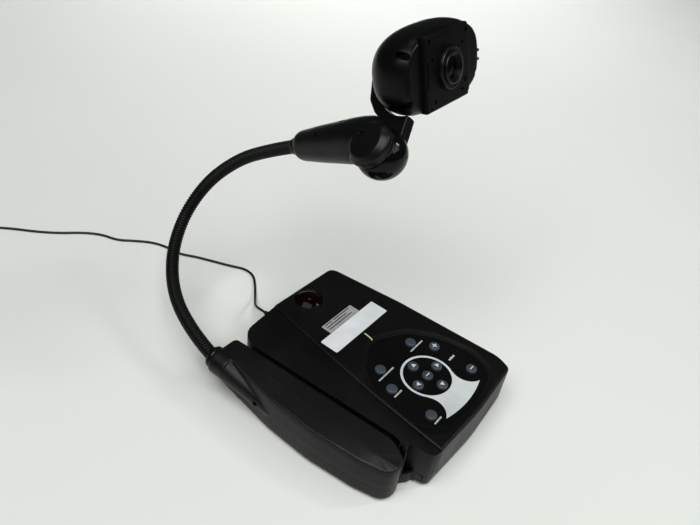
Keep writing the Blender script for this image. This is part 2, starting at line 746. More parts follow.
# put rays exactly through the sharp left corners so they stay crisp
for corner in [(-61.0, -53.4), (-31.2, 163.4), (57.0, 160.6), (64.3, -52.5)]:
    p = np.array(corner) * U - c0
    a = math.atan2(p[1], p[0]) % (2 * math.pi)
    ang[np.argmin(np.abs(ang - a))] = a
outer = ray_loop(top_loop, c0, ang)
egg_loop = ccw(rounded(EGG, 1.0))
egg = ray_loop(egg_loop, c0, ang)


def toward(L, d):
    """shrink a star-shaped ring along its own normal-ish direction, keeping the rays"""
    n = normals2(L)
    return L - n * np.asarray(d)[..., None] if np.ndim(d) else L - n * d


def lerp(A, B, t):
    return A + (B - A) * t


er = 2.6
rings = []
rings.append(at_z(toward(outer, 0.35), 14.25))
rings.append(at_z(outer, 14.7))
rings.append(at_z(outer, 28.0))
rings.append(at_z(outer, TOP - er))
for k in range(1, 9):
    t = k / 8.0 * math.pi / 2
    rings.append(at_z(toward(outer, er * (1 - math.cos(t))), TOP - er + er * math.sin(t)))
flat0 = toward(outer, er)
egg_out = egg + (egg - c0) / np.linalg.norm(egg - c0, axis=1)[:, None] * 5.6
# keep the dished rim inside the flat area
dist = np.linalg.norm(flat0 - c0, axis=1) - np.linalg.norm(egg_out - c0, axis=1)
lim = np.clip(dist - 1.2, None, 0)
egg_out = egg_out + (egg - c0) / np.linalg.norm(egg - c0, axis=1)[:, None] * lim[:, None]
egg_mid = lerp(egg_out, egg, 0.5)
for t in (0.12, 0.3, 0.5, 0.7, 0.86, 0.96):
    rings.append(at_z(lerp(flat0, egg_out, t), TOP))
rings.append(at_z(egg_out, TOP))
for t, dz in ((0.10, -0.05), (0.22, -0.20), (0.38, -0.48), (0.55, -0.76), (0.72, -0.93), (0.86, -0.99), (0.95, -1.0)):
    rings.append(at_z(lerp(egg_out, egg, t), TOP + dz * 0.95))
eg1 = toward(egg, 0.25)
rings.append(at_z(egg, TOP - 0.98))
rings.append(at_z(eg1, TOP - 1.15))
rings.append(at_z(eg1, TOP - 2.6))
# underside
inn = toward(outer, 2.4)
rings.append(at_z(lerp(inn, eg1, 0.97), TOP - 2.9))
rings.append(at_z(lerp(inn, eg1, 0.5), TOP - 2.9))
rings.append(at_z(inn, TOP - 3.0))
rings.append(at_z(inn, 14.25))
top = ring_mesh("top_shell", rings, M_SHELL, closed=True, angle=34.0)
# rear sockets and jack hole
cuts = []
for (x, w, h, z) in [(3, 31.0, 11.6, 26.0), (36, 17.0, 11.6, 26.0)]:
    cuts.append(bevelled(boxo("c", (x, 158.0, z), (w, 14.0, h)), 1.0, 3))
cuts.append(lathe("c", [(0, -10), (5.4, -10), (5.4, 14), (0, 14)], (dcx, 152.0, 22.0), (0, 1, 0), 40))
top = boolean(top, cuts, mat=M_SHELL, angle=34.0)
put(top, "base", "top_cover")

# control plate, a hair below the flat, with button wells
NE_ = 360
ea = np.linspace(0, 2 * math.pi, NE_, endpoint=False)
c1 = np.array([0.0, 0.0])
er0 = ray_loop(egg_loop, c1, ea)
PZ = TOP - 0.72
prings = [at_z(toward(er0, 0.45), PZ - 1.5), at_z(toward(er0, 0.45), PZ - 0.18), at_z(toward(er0, 0.6), PZ - 0.03), at_z(toward(er0, 0.85), PZ)]
for t in (0.92, 0.8, 0.6, 0.4, 0.2):
    prings.append(at_z(toward(er0, 0.85) * t, PZ))
full = [*prings]
V = np.concatenate(full + [np.array([[0, 0, PZ], [0, 0, PZ - 1.5]])])
F = []
m = len(full)
for j in range(m - 1):
    a, b = j * NE_, (j + 1) * NE_
    for i in range(NE_):
        i2 = (i + 1) % NE_
        F.append((a + i, a + i2, b + i2, b + i))
a = (m - 1) * NE_
for i in range(NE_):
    F.append((a + i, a + (i + 1) % NE_, len(V) - 2))
    F.append(((i + 1) % NE_, i, len(V) - 1))
panel = raw("control_panel", V, F, M_PANEL, 30.0)
wells = [lathe("w", [(0, -3), (5.62, -3), (5.62, -0.22), (5.95, 0.12), (6.1, 1.0), (0, 1.0)], (x * U, y * U, PZ), (0, 0, 1), 56) for x, y in BTN.values()]
panel = boolean(panel, wells, mat=M_PANEL, angle=30.0)
put(panel, "base", "control_plate")

# printing on the plate
PR = PZ + 0.012
TH = 0.05


def arc2(cx, cy, r, a0, a1, n):
    return [(cx + r * math.cos(math.radians(a0 + (a1 - a0) * i / n)), cy + r * math.sin(math.radians(a0 + (a1 - a0) * i / n))) for i in range(n + 1)]


def ribbon(name, A, B, z, th, mat, closed=False):
    """flat strip between two point rows (layout units)"""
    A = np.array(A) * U; B = np.array(B) * U
    n = len(A)
    V = np.concatenate([at_z(A, z), at_z(B, z), at_z(A, z + th), at_z(B, z + th)])
    F = []
    rng = range(n if closed else n - 1)
    for i in rng:
        j = (i + 1) % n
        F.append((2 * n + i, 2 * n + j, 3 * n + j, 3 * n + i))
        F.append((i, n + i, n + j, j))
        F.append((i, j, 2 * n + j, 2 * n + i))
        F.append((n + i, 3 * n + i, 3 * n + j, n + j))
    if not closed:
        F.append((0, 2 * n, 3 * n, n)); F.append((n - 1, 2 * n - 1, 4 * n - 1, 3 * n - 1))
    return raw(name, V, F, mat, 30.0)


ringo = ribbon("print_ring", arc2(0, 0, 25.3, 0, 360 - 360 / 160, 159), arc2(0, 0, 22.9, 0, 360 - 360 / 160, 159), PR, TH, M_WHITE, closed=True)
put(ringo, "base")
nb = 120
topr = arc2(0, 0, 25.0, -147.6, -32.4, nb)
lft = arc2(-36, -22.8, 17.0, 32.3, -70.1, 40)
def arc3pts(p0, p1, p2, n):
    return [(p[0], p[1]) for p in circ3((*p0, 0), (*p1, 0), (*p2, 0), n)]
bot = arc3pts(lft[-1], (0.0, -43.0), (30.3, -38.8), 50)
rgt = arc2(36, -22.8, 17.0, 250.1, 147.7, 40)
low = lft + bot[1:] + rgt[1:]
flare = flatpoly("print_flare", [(x * U, y * U) for x, y in low[1:-1] + topr[::-1][1:-1]], PR + 0.001, TH, M_WHITE)
put(flare, "base")


def legend(name, x0, x1, y, h=1.9, ang=0.0, cx=None):
    """a generic legend: a row of small blocks"""
    rs = []
    x = x0
    k = 0
    widths = [1.5, 1.2, 1.6, 1.3, 1.1, 1.5, 1.7, 1.2]
    V, F = [], []
    while x < x1 - 0.6:
        w = min(widths[k % 8], x1 - x)
        hh = h * (1.0 if k % 3 else 0.86)
        b = len(V)
        for z in (PR, PR + TH):
            for px_, py_ in ((x, y - hh / 2), (x + w, y - hh / 2), (x + w, y + hh / 2), (x, y + hh / 2)):
                V.append((px_ * U, py_ * U, z))
        F += [(b + 3, b + 2, b + 1, b), (b + 4, b + 5, b + 6, b + 7), (b, b + 1, b + 5, b + 4), (b + 1, b + 2, b + 6, b + 5),
              (b + 2, b + 3, b + 7, b + 6), (b + 3, b, b + 4, b + 7)]
        x += w + 0.55
        k += 1
    o = raw(name, V, F, M_WHITE, 30.0)
    return put(o, "base")


legend("legend_text", -36.3, -13.6, 29.0, 1.7)
legend("legend_colour", 14.9, 35.0, 28.6, 1.7)
legend("legend_freeze", -41.9, -31.4, -34.4, 1.7)
legend("legend_effect", -42.0, -31.0, 7.9, 1.7)
legend("legend_zoom", 31.5, 40.5, -4.6, 2.1)

# keys
for nm, (x, y) in BTN.items():
    prof = [(0, 37.5), (5.05, 37.5), (5.25, 38.0), (5.3, 43.6), (5.22, 44.35), (4.95, 44.85), (4.4, 45.15), (3.4, 45.30), (2.0, 45.37), (0, 45.39)]
    k = lathe(nm.replace("button", "key"), prof, (x * U, y * U, 0), (0, 0, 1), 56, M_KEY, 40.0)
    put(k, nm.replace("button_", "key_"), nm)
    z = 45.40
    ic = []
    if nm in ("button_up", "button_down", "button_left", "button_right"):
        a = {"button_up": 90, "button_down": -90, "button_left": 180, "button_right": 0}[nm]
        tri = [(2.6, 0), (-1.5, 2.5), (-1.5, -2.5)]
        ca, sa = math.cos(math.radians(a)), math.sin(math.radians(a))
        ic.append([(x * U + u * ca - v * sa, y * U + u * sa + v * ca) for u, v in tri])
    elif nm == "button_centre":
        ic.append([(x * U + u, y * U + v) for u, v in ((-2.6, -0.55), (2.6, -0.55), (2.6, 0.55), (-2.6, 0.55))])
    elif nm == "button_plus":
        w, l = 0.55, 2.6
        ic.append([(x * U + u, y * U + v) for u, v in ((w, w), (w, l), (-w, l), (-w, w), (-l, w), (-l, -w), (-w, -w), (-w, -l), (w, -l), (w, -w), (l, -w), (l, w))])
    elif nm == "button_minus":
        ic.append([(x * U + u, y * U + v) for u, v in ((-2.6, -0.55), (2.6, -0.55), (2.6, 0.55), (-2.6, 0.55))])
    for j, pl in enumerate(ic):
        o = flatpoly(nm.replace("button", "icon"), pl, 45.20, 0.2, M_WHITE)
        put(o, nm.replace("button_", "key_"))

# side strip and bottom tray from their CAD shapes, edges softened
# their shared front corner is well rounded
cb0, ca0, cc0 = [np.array(q) * U for q in ((-70.8, -52.6), (0.0, -56.5), (-73.0, -39.0))]
cu_, cv_ = (ca0 - cb0) / np.linalg.norm(ca0 - cb0), (cc0 - cb0) / np.linalg.norm(cc0 - cb0)
half = math.acos(float(cu_ @ cv_)) / 2
RC = 6.6
bis_ = (cu_ + cv_) / np.linalg.norm(cu_ + cv_)
cen_ = cb0 + bis_ * (RC / math.sin(half))
tl_ = RC / math.tan(half)
q1, q2 = cb0 + cu_ * tl_, cb0 + cv_ * tl_
g1, g2 = [math.atan2(*(q - cen_)[::-1]) for q in (q1, q2)]
dg = (g2 - g1 + math.pi) % (2 * math.pi) - math.pi
arc_ = [cen_ + RC * np.array([math.cos(g1 + dg * k / 14.0), math.sin(g1 + dg * k / 14.0)]) for k in range(15)]
out_ = [q2 - bis_ * 9.0, cb0 - bis_ * 12.0, q1 - bis_ * 9.0]
cpoly = ccw(np.array([*arc_, *out_]))


def corner_cut():
    n = len(cpoly)
    V = [(x, y, z) for z in (-3.0, 60.0) for x, y in cpoly]
    F = [tuple(range(n - 1, -1, -1)), tuple(range(n, 2 * n))] + [(i, (i + 1) % n, n + (i + 1) % n, n + i) for i in range(n)]
    return raw("corner_cut", V, F, None, None)


side = boolean(cadcopy("side_cover", "side_strip"), [corner_cut()], mat=M_SHELL, angle=34.0)
side = bevelled(side, 1.1, 4, 35.0, M_SHELL, 34.0)
put(side, "base", "side_cover")
tray = bevelled(cadcopy("bottom_shell", "bottom_tray"), 0.7, 3, 35.0, M_SHELL, 34.0)
# round the tray's lower edge where it shows: along the front, its corners and the right side
BOTC = [(58.0, 161.5, 9), (66.6, 76, 150), (71.0, -38, 60), (64.5, -53.0, 7), (0, -56.5, 220), (-70.8, -52.6, 6.77), (-73.0, -39.0, 0.4), (-40.0, 60.0, 1.0), (-32.0, 161.5, 1.0)]
bl_ = ccw(rounded(BOTC, 1.0))
keep_ = (bl_[:, 1] < -41.0 * U) | ((bl_[:, 0] > 55 * U) & (bl_[:, 1] < 140 * U))
k0 = [i for i in range(len(bl_)) if keep_[i] and not keep_[i - 1]][0]
bl_ = np.roll(bl_, -k0, axis=0); keep_ = np.roll(keep_, -k0)
run = bl_[:int(np.argmin(keep_))]
dl = np.gradient(run, axis=0); dl /= np.linalg.norm(dl, axis=1)[:, None]
on = np.column_stack([dl[:, 1], -dl[:, 0]])
RB = 3.4
z0_ = float(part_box("bottom_shell")[0][2]) * 1000.0
pf = [(2.5, -2.0), (2.5, RB)] + [(-RB * (1 - math.cos(k / 8.0 * math.pi / 2)), RB * (1 - math.sin(k / 8.0 * math.pi / 2))) for k in range(0, 9)] + [(-RB, -2.0)]
V, F = [], []
for q, n_ in zip(run, on):
    for u, z in pf:
        V.append((q[0] + n_[0] * u, q[1] + n_[1] * u, z + z0_))
npf = len(pf)
for i in range(len(run) - 1):
    for k in range(npf):
        k2 = (k + 1) % npf
        F.append((i * npf + k, i * npf + k2, (i + 1) * npf + k2, (i + 1) * npf + k))
F.append(tuple(range(npf - 1, -1, -1))); F.append(tuple((len(run) - 1) * npf + k for k in range(npf)))
edge_cut = raw("edge_cut", V, F, None, None)
tray = boolean(tray, [corner_cut(), edge_cut], mat=M_SHELL, angle=34.0)
put(tray, "base", "bottom_shell")

# labels: thin film with rounded corners, edges just lifting
def label(name, cx, cy, w, h, z, th, mat, lift):
    nx, ny = 40, 14
    V, F = [], []
    for zz in (0, 1):
        for j in range(ny + 1):
            for i in range(nx + 1):
                u, v = i / nx, j / ny
                x, y = (u - 0.5) * w, (v - 0.5) * h
                ex, ey = min(u, 1 - u) * w, min(v, 1 - v) * h
                r = 0.9
                if ex < r and ey < r:          # round the corner
                    s = math.hypot(r - ex, r - ey)
                    if s > r:
                        k = r / s
                        x = math.copysign(w / 2 - r + (r - ex) * k, x)
                        y = math.copysign(h / 2 - r + (r - ey) * k, y)
                c = max(0.0, 1 - math.hypot(ex, ey) / 7.0)
                zl = z + lift * c * c * (1.0 if (x > 0) == (y > 0) else 0.35) + 0.05 * math.sin(u * 9.0) * math.sin(v * 3.1) * 0.4
                V.append((cx + x, cy + y, zl + th * zz))
    n1 = (nx + 1) * (ny + 1)
    idx = lambda i, j, k: k * n1 + j * (nx + 1) + i
    for j in range(ny):
        for i in range(nx):
            F.append((idx(i, j, 1), idx(i + 1, j, 1), idx(i + 1, j + 1, 1), idx(i, j + 1, 1)))
            F.append((idx(i, j, 0), idx(i, j + 1, 0), idx(i + 1, j + 1, 0), idx(i + 1, j, 0)))
    for i in range(nx):
        F.append((idx(i, 0, 0), idx(i + 1, 0, 0), idx(i + 1, 0, 1), idx(i, 0, 1)))
        F.append((idx(i, ny, 0), idx(i, ny, 1), idx(i + 1, ny, 1), idx(i + 1, ny, 0)))
    for j in range(ny):
        F.append((idx(0, j, 0), idx(0, j, 1), idx(0, j + 1, 1), idx(0, j + 1, 0)))
        F.append((idx(nx, j, 0), idx(nx, j + 1, 0), idx(nx, j + 1, 1), idx(nx, j, 1)))
    return raw(name, V, F, mat, 40.0)


wl = label("tape_label", 3.85 * U, 87.65 * U, 81.5 * U, 20.1 * U, TOP + 0.06, 0.14, M_PAPER, 0.10)
put(wl, "base", "white_label")
sl = label("foil_label", 1.75 * U, 104.0 * U, 45.3 * U, 12.2 * U, TOP + 0.05, 0.10, M_FOIL, 0.03)
put(sl, "base", "silver_label")
for j, (yy, x0, x1) in enumerate([(108.3, -17.5, -7.0), (108.3, -5.0, 20.0), (105.2, -17.5, 12.0), (102.1, -17.5, 17.0)]):
    o = flatpoly("foil_rule_%d" % j, [(x0 * U, (yy - 0.45) * U), (x1 * U, (yy - 0.45) * U), (x1 * U, (yy + 0.45) * U), (x0 * U, (yy + 0.45) * U)], TOP + 0.17, 0.02, M_SOCK)
    put(o, "base")

# dome on its bezel
dr = 14.3
capr = (dr ** 2 + 6.0 ** 2) / 12.0
prof = [(0, 40.0), (12.4, 40.0), (12.4, 44.05), (13.1, 44.35)]
for k in range(0, 21):
    a = (1 - k / 20.0) * math.asin(13.1 / capr)
    prof.append((capr * math.sin(a), 44.35 + (math.sqrt(capr ** 2 - 0) * math.cos(a) - capr * math.cos(math.asin(13.1 / capr)))))
prof = [p if p[0] > 1e-5 else (0, min(p[1], 49.95)) for p in prof]
dome = lathe("sensor_dome", prof, (DOME[0], DOME[1], 0), (0, 0, 1), 96, M_DOME, 50.0)
put(dome, "base", "ir_dome")
bez = lathe("dome_bezel", [(12.9, 43.6), (14.25, 43.6), (14.3, 44.3), (14.1, 44.75), (13.7, 44.95), (13.25, 44.8), (12.95, 44.4)],
            (DOME[0], DOME[1], 0), (0, 0, 1), 96, M_GLOSS, 50.0)
put(bez, "base")

# light pipe, slightly curved along the egg's top
V, F = [], []
nn_ = 24
cxl, cyl_ = 1.7 * U, 69.5 * U
secs = []
for i in range(nn_ + 1):
    t = i / nn_ - 0.5
    a = math.radians(-9.0)
    yy = t * 11.4
    xx = -0.010 * yy * yy
    X = cxl + xx * math.cos(a) - yy * math.sin(a) + 0.12
    Y = cyl_ + xx * math.sin(a) + yy * math.cos(a)
    wv = 0.68 * (1 - abs(2 * t) ** 6) ** 0.5 + 0.05
    secs.append((X, Y, a, wv))
for (X, Y, a, w) in secs:
    for u, z in ((-w, TOP - 1.2), (w, TOP - 1.2), (w, TOP + 0.14), (w * 0.6, TOP + 0.27), (-w * 0.6, TOP + 0.27), (-w, TOP + 0.14)):
        V.append((X + u * math.cos(a), Y + u * math.sin(a), z))
for i in range(nn_):
    for k in range(6):
        k2 = (k + 1) % 6
        F.append((i * 6 + k, i * 6 + k2, (i + 1) * 6 + k2, (i + 1) * 6 + k))
F.append(tuple(range(5, -1, -1))); F.append(tuple(nn_ * 6 + k for k in range(6)))
lp = raw("light_pipe", V, F, M_PIPE, 50.0)
put(lp, "base", "light_bar")

# feet
fo = [lathe("f", [(0, 0.05), (5.6, 0.05), (6.5, 0.35), (6.9, 1.1), (6.95, 2.05), (0, 2.05)], (x, y, 0), (0, 0, 1), 48) for x, y in [(46, 122), (-66, 115), (52, -22), (-56, -27)]]
feet = joined("rubber_feet", fo)
feet.data.materials.append(M_RUBBER); finish_mesh(feet.data, 40.0)
put(feet, "base", "feet")
af = lathe("arm_pad", [(0, 0.03), (4.1, 0.03), (4.7, 0.25), (4.95, 0.7), (4.97, 1.05), (0, 1.05)], (-103, 128, 0), (0, 0, 1), 40, M_RUBBER, 40.0)
put(af, "arm", "arm_foot")

# ------------------------------------------------------------------ arm
arm_loop = ccw(rounded(ARM, 1.6))
NP = len(arm_loop)
nrm = normals2(arm_loop)
for _ in range(6):
    nrm = (np.roll(nrm, 1, 0) + nrm + np.roll(nrm, -1, 0)); nrm /= np.linalg.norm(nrm, axis=1)[:, None]
yc = np.clip(arm_loop[:, 1], -14.0, 141.0)
mid = np.column_stack([np.interp(yc, [-20, 0, 80, 150], [-97.0, -97.0, -96.0, -94.5]), yc])
# how much a point faces the outside (left) or the nose, 0..1
left = np.clip((-nrm[:, 0]) * 1.0, 0, 1)
nose = np.clip(-nrm[:, 1], 0, 1) * (arm_loop[:, 1] < 0)
ya = arm_loop[:, 1]
zcl = np.interp(ya, [-40, -22, 12, 60, 85, 98, 111, 124, 138, 155], [38.0, 38.4, 39.8, 40.2, 40.6, 41.2, 42.0, 42.9, 43.5, 43.7])
inl = np.interp(ya, [-40, 60, 85, 98, 111, 155], [2.7, 2.7, 1.7, 0.8, 0.35, 0.3])
lw = np.clip(left * 1.5, 0, 1)
crease = zcl * lw + (43.0 - 3.4 * nose) * (1 - lw)
crin = inl * lw + 0.4 * (1 - lw)


def armring(d, z):
    return at_z(arm_loop - nrm * np.asarray(d)[..., None] if np.ndim(d) else arm_loop - nrm * d, z)


R = []
R.append(at_z(lerp(mid, arm_loop, 0.02), 1.0 + 0 * yc))
R.append(armring(4.4, 1.0))
for k in range(1, 6):
    t = k / 5.0 * math.pi / 2
    R.append(armring(4.4 * (1 - math.sin(t)), 1.0 + 4.4 * (1 - math.cos(t))))
R.append(armring(0.0, 9.0 + 0 * yc))
R.append(armring(0.10 * crin, 22.0 + 0 * yc))
R.append(armring(0.45 * crin, crease - 5.0))
R.append(armring(0.80 * crin, crease - 1.0))
for k in range(1, 5):
    t = k / 4.0 * math.pi / 2
    R.append(armring(0.80 * crin + 0.7 * (1 - math.cos(t)), crease - 1.0 + 1.0 * math.sin(t)))
ctop = 0.36 * np.interp(yc, [-40, -22, 12, 60, 85, 98, 111, 124, 138, 155], [38.0, 38.4, 39.8, 40.2, 40.6, 41.2, 42.0, 42.9, 43.5, 43.7]) + 0.64 * 43.0
base_in = arm_loop - nrm * (0.80 * crin + 0.7)[:, None]
for s in (0.12, 0.25, 0.4, 0.58, 0.78, 0.95):
    f = s
    R.append(at_z(lerp(base_in, mid, s), crease + (ctop - crease) * f))
Vr = np.concatenate(R + [np.array([[-96, 60, 1.0]]), np.array([[-96, 60, 43.75]])])
# close the top and bottom along the mid line by bridging opposite points
F = []
m = len(R)
for j in range(m - 1):
    a, b = j * NP, (j + 1) * NP
    for i in range(NP):
        i2 = (i + 1) % NP
        F.append((a + i, a + i2, b + i2, b + i))
F.append(tuple(range(NP - 1, -1, -1)))
F.append(tuple((m - 1) * NP + i for i in range(NP)))
armb = raw("arm_raw", Vr[:-2], F, None, None)
KP = [(-107.81, 162.49, 32.7), (-103.51, 189.59, 37.83), (-95.47, 216.0, 42.04), (-83.27, 240.55, 47.21),
      (-67.04, 261.88, 54.9), (-47.79, 278.45, 66.35), (-27.25, 287.25, 82.81), (-8.77, 285.48, 103.43),
      (4.76, 273.88, 124.74), (12.8, 255.57, 144.13), (16.53, 233.59, 160.92), (17.4, 209.87, 175.65),
      (17.03, 185.66, 189.6)]
NX, NY, NZ = KP[0]
boss = lathe("boss", [(0, 0), (12.15, 0), (12.2, 15.6), (11.6, 16.3), (0, 16.3)], (NX, 138.0, 31.7), (0, 1, 0), 64)
ca_, cb_ = np.array([NX, 144.0, 31.2]), np.array([NX + 0.5, 80.0, 19.6])
dab = ca_ - cb_
lab = float(np.linalg.norm(dab))
scoop = lathe("scoop", [(0, -3.5), (4.0, -2.8), (6.4, -1.0), (7.6, 2.0), (8.2, 8.0), (10.0, lab * 0.55), (11.8, lab * 0.92), (11.9, lab), (0, lab)], cb_, dab, 64)
armj = joined("arm_join", [armb, boss, scoop])
armr = remesh(armj, 0.70, 4, 0.5, None, None)
# screw recess on the outer side, then split into the two mouldings at a fine groove
rec = lathe("rec", [(0, -9), (2.5, -9), (2.5, 0.0), (2.9, 0.6), (2.9, 8), (0, 8)], (-116.2, 100.0, 23.4), (-1, 0, 0.05), 40)
armr = boolean(armr, [rec], mat=M_ARM, angle=40.0)


def keep_side(o, name, z, above, mat):
    me = o.data.copy()
    bm = bmesh.new(); bm.from_mesh(me)
    g = bm.verts[:] + bm.edges[:] + bm.faces[:]
    r = bmesh.ops.bisect_plane(bm, geom=g, plane_co=Vector((0, 0, z / 1000.0)), plane_no=Vector((0, 0, 1)), clear_inner=above, clear_outer=not above)
    ed = [e for e in bm.edges if e.is_boundary]
    bmesh.ops.holes_fill(bm, edges=ed, sides=0)
    bm.to_mesh(me); bm.free()
    n = bpy.data.objects.new(name, me); col.objects.link(n)
    me.materials.clear(); me.materials.append(mat)
    finish_mesh(me, 50.0)
    return n


a1 = keep_side(armr, "arm_upper", 15.12, True, M_ARM)
a2 = keep_side(armr, "arm_lower", 14.88, False, M_ARM)
bpy.data.objects.remove(armr, do_unlink=True)
put(a1, "arm", "arm_top")
put(a2, "arm", "arm_bottom")
a3 = lathe("arm_core", [(0, 14.0), (3.4, 14.0), (3.4, 16.0), (0, 16.0)], (-100.0, 60.0, 0), (0, 0, 1), 24, M_SOCK)
bpy.data.objects.remove(a3, do_unlink=True)


def screw(name, pos, axis, r, mat, slot=True, h=1.2):
    """pan head with a cross recess; axis points out of the surface"""
    s = lathe(name, [(0, -h), (r * 0.9, -h), (r, -h * 0.6), (r, 0.0), (r * 0.86, 0.32 * r * 0.5), (r * 0.5, 0.46 * r * 0.5), (0, 0.5 * r * 0.5)], pos, axis, 40, mat, 40.0)
    if slot:
        x, y, z = frame_of(axis)
        Rm = np.column_stack([x, y, z])
        c = np.array(pos, float) + z * (0.25 * r)
        cs = [boxo("k", c, (r * 1.25, r * 0.26, r * 0.9), Rm), boxo("k", c, (r * 0.26, r * 1.25, r * 0.9), Rm)]
        s = boolean(s, cs, mat=mat, angle=40.0)
    return s


put(screw("arm_side_screw", (-113.6, 100.0, 23.5), (-1, 0, 0), 2.2, M_SCREW), "arm", "arm_screw")

# collar with two stepped grooves
yf = 158.5 * U
prof = [(0, -2.0), (9.6, -2.0), (9.6, 0.3), (10.2, 0.5), (10.45, 1.0), (10.5, 2.0), (10.1, 2.2), (10.1, 2.5), (10.5, 2.7), (10.4, 4.3), (9.8, 5.1), (8.6, 5.9), (7.9, 6.4),
        (6.75, 6.62), (0, 6.62)]
colr = lathe("neck_socket", prof, (NX, yf, NZ), (0, 1, 0), 72, M_SATIN, 40.0)
put(colr, "arm", "neck_collar")

# ------------------------------------------------------------------ ribbed gooseneck
path, link_of = [], []
for i in range(6):
    a = circ3(KP[2 * i], KP[2 * i + 1], KP[2 * i + 2], 240)
    if i:
        a = a[1:]
    path += a
path = np.array(path)
# start a little earlier, straight out of the collar
t0 = path[0] - path[1]; t0 /= np.linalg.norm(t0)
pre = [path[0] + t0 * d for d in np.linspace(5.0, 0.25, 20)]
t1 = path[-1] - path[-2]; t1 /= np.linalg.norm(t1)
post = [path[-1] + t1 * d for d in np.linspace(0.25, 6.0, 20)]
path = np.concatenate([pre, path, post])
S_ = np.concatenate([[0], np.cumsum(np.linalg.norm(np.diff(path, axis=0), axis=1))])
tot = S_[-1]
PITCH = 2.95
nst = int(tot / (PITCH / 9.0))
su = np.linspace(0, tot, nst + 1)
pu = np.column_stack([np.interp(su, S_, path[:, k]) for k in range(3)])
SEG = 30
# one transported frame for the whole neck
T = np.gradient(pu, axis=0); T /= np.linalg.norm(T, axis=1)[:, None]
X = frame_of(T[0])[0]
XS = []
for i in range(len(pu)):
    X = X - T[i] * (X @ T[i]); X /= np.linalg.norm(X); XS.append(X.copy())
XS = np.array(XS); YS = np.cross(T, XS)


def neck_r(s, k):
    ph = (s / PITCH - k / SEG) % 1.0
    w = abs(2 * ph - 1)                      # 1 at the groove, 0 on the crown
    return 6.22 - 0.95 * max(0.0, (w - 0.42) / 0.58) ** 1.7


def neck_piece(name, s0, s1):
    idx = [i for i in range(len(su)) if s0 - 1e-6 <= su[i] <= s1 + 1e-6]
    V, F = [], []
    for i in idx:
        for k in range(SEG):
            a = 2 * math.pi * k / SEG
            r = neck_r(su[i], k)
            V.append(pu[i] + XS[i] * (r * math.cos(a)) + YS[i] * (r * math.sin(a)))
    n = len(idx)
    for j in range(n - 1):
        for k in range(SEG):
            k2 = (k + 1) % SEG
            F.append((j * SEG + k, j * SEG + k2, (j + 1) * SEG + k2, (j + 1) * SEG + k))
    F.append(tuple(range(SEG - 1, -1, -1)))
    F.append(tuple((n - 1) * SEG + k for k in range(SEG)))
    return raw(name, V, F, M_NECK, 75.0)


def s_of(p):
    return su[np.argmin(np.linalg.norm(pu - np.array(p), axis=1))]


marks = [0.0] + [s_of(KP[2 * i + 1]) for i in range(6)] + [tot]
for i in range(7):
    nm = "gooseneck_%d" % (i + 1)
    o = neck_piece(nm, marks[i], marks[i + 1])
    if i < 6:
        js = s_of(KP[2 * i])
        half = min(js - marks[i], marks[i + 1] - js) if i else (marks[1] - js)
        sa = max(marks[i], js - (14.0 if i else 4.5))
        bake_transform(o)
        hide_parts("neck_link_%d" % (i + 1))
    else:
        put(o, "neck_6")

# ------------------------------------------------------------------ joint housing and hub
def un(v):
    v = np.array(v, float); return v / np.linalg.norm(v)


E = un((-0.03, -0.89, 0.455))
NN = un((-0.68, 0.42, 0.60)); NN = un(NN - E * (NN @ E))
W = np.cross(NN, E)
NEp = np.array(KP[12])
HUB = NEp + E * (104.1 * U) - NN * (4.1 * U) - W * (11.3 * U)
fer = lathe("neck_sleeve", [(0, -1.6), (6.9, -1.6), (7.4, -1.2), (7.6, -0.4), (7.65, 3.4), (7.2, 3.8), (7.2, 4.3), (7.65, 4.7), (7.68, 8.0), (0, 8.0)], NEp, E, 64, M_SATIN, 40.0)
put(fer, "neck_6", "neck_ferrule")
hsg = remesh(cadcopy("joint_housing", "joint_body", False), 0.55, 16, 0.5, None, None)
# moulding seam and notch
notch_c = NEp + E * 17.5 + (NN * 0.80 + W * 0.6) * 14.2
nd = un((-0.715, 0.402, 0.573))
nu_ = un(np.array([0.41, -0.02, 0.53]) - nd * (np.array([0.41, -0.02, 0.53]) @ nd))
rec2 = bevelled(boxo("rec", np.array([3.93, 155.2, 217.93]), (1.9, 4.2, 4.4), np.column_stack([np.cross(nu_, nd), nu_, nd])), 0.7, 3)
cd = un((-0.685, 0.35, 0.639))
cp = np.array([-1.95, 105.97, 241.98])
rec3 = lathe("rec", [(0, -2.6), (2.15, -2.6), (2.15, -0.9), (2.9, 0.1), (2.9, 5), (0, 5)], cp, cd, 40)
hsg = boolean(hsg, [rec2, rec3], mat=M_SATIN, angle=48.0)
put(screw("cheek_screw", cp - cd * 1.9, cd, 1.95, M_SCREW), "neck_6")
put(hsg, "neck_6", "joint_housing")
sdir = un(NN * 0.75 + W * 0.66)
sp0 = NEp + E * (66 * U) + sdir * (14.7 * U + 1.3)
put(screw("joint_screw", sp0, sdir, 2.2, M_SCREW), "neck_6", "housing_screw")
frl = lathe("friction_washer", [(4.2, 10.15), (18.4, 10.15), (18.8, 10.5), (18.85, 12.9), (18.4, 13.25), (4.2, 13.25)], HUB, NN, 96, M_SATIN, 40.0)
put(frl, "neck_6", "friction_ring")
